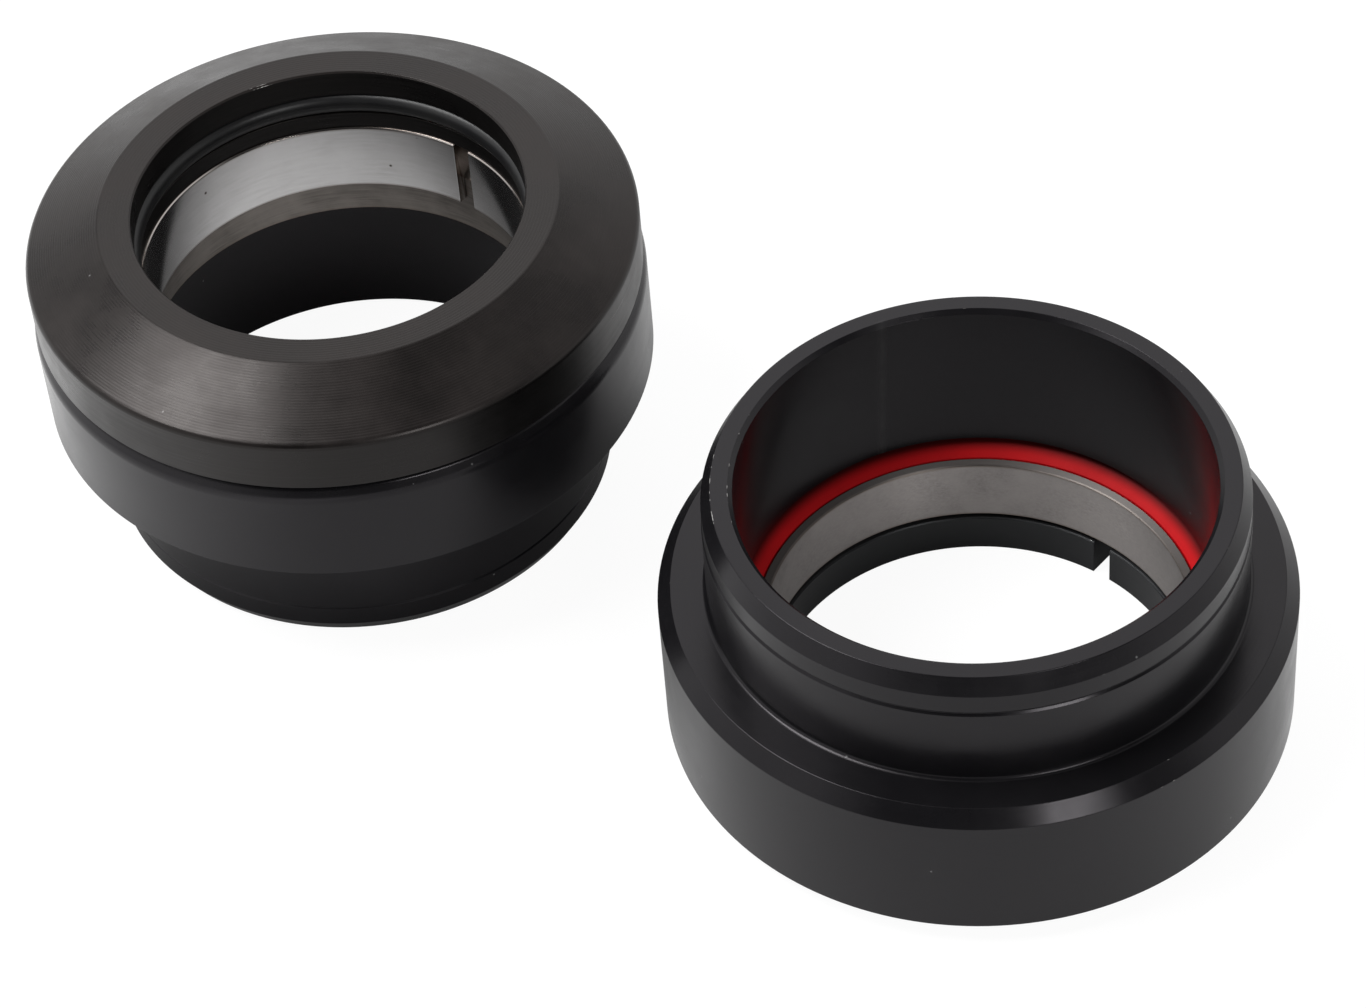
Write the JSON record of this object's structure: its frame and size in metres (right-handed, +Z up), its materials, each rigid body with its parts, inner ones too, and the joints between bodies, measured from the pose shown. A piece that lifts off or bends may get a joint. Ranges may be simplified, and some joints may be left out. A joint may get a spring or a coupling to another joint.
{
  "type": "bicycle headset",
  "caption": "Threadless bicycle headset: upper and lower press-fit cups with cartridge bearings, top cap, split compression ring and split crown race.",
  "frame": {"origin": "centre of the set's box at its feet, midway between the two halves", "axes": "+X from the upper half to the lower half, +Z up along both steering axes"},
  "size_m": [0.0988, 0.0456, 0.0261],
  "materials": {
    "anodised_black": "turned, satin black anodised",
    "polished_steel": "polished",
    "blackened_steel": "satin black",
    "bearing_steel": "satin ground",
    "ball_steel": "polished",
    "retainer_plastic": "moulded",
    "red_rubber": "smooth",
    "black_rubber": "smooth"
  },
  "bodies": {
    "cups": {"upper_cup": "anodised_black", "lower_cup": "anodised_black", "upper_bearing_outer_ring": "bearing_steel", "upper_bearing_inboard_seal": "red_rubber", "upper_bearing_outboard_seal": "red_rubber", "lower_bearing_outer_ring": "bearing_steel", "lower_bearing_inboard_seal": "red_rubber", "lower_bearing_outboard_seal": "red_rubber"},
    "upper_turning_set": {"top_cap": "anodised_black", "compression_ring": "polished_steel", "steerer_o_ring": "black_rubber", "cap_dust_seal": "black_rubber", "upper_bearing_inner_ring": "bearing_steel"},
    "upper_ball_set": {"upper_bearing_balls": "ball_steel", "upper_ball_retainer": "retainer_plastic"},
    "lower_turning_set": {"crown_race": "blackened_steel", "crown_race_seal": "black_rubber", "lower_bearing_inner_ring": "bearing_steel"},
    "lower_ball_set": {"lower_bearing_balls": "ball_steel", "lower_ball_retainer": "retainer_plastic"}
  },
  "joints": [
    {"name": "upper_steering_turn", "type": "hinge", "parent": "cups", "child": "upper_turning_set", "pos_m": [-0.0266, 0, 0.0153], "axis": [0, 0, 1], "continuous": true},
    {"name": "upper_ball_roll", "type": "hinge", "parent": "cups", "child": "upper_ball_set", "pos_m": [-0.0266, 0, 0.0153], "axis": [0, 0, 1], "continuous": true},
    {"name": "lower_steering_turn", "type": "hinge", "parent": "cups", "child": "lower_turning_set", "pos_m": [0.0269, 0, 0.0051], "axis": [0, 0, 1], "continuous": true},
    {"name": "lower_ball_roll", "type": "hinge", "parent": "cups", "child": "lower_ball_set", "pos_m": [0.0269, 0, 0.0051], "axis": [0, 0, 1], "continuous": true}
  ],
  "couplings": [
    {"joint": "upper_ball_roll", "follows": "upper_steering_turn", "ratio": 0.4685},
    {"joint": "lower_ball_roll", "follows": "lower_steering_turn", "ratio": 0.4685}
  ]
}
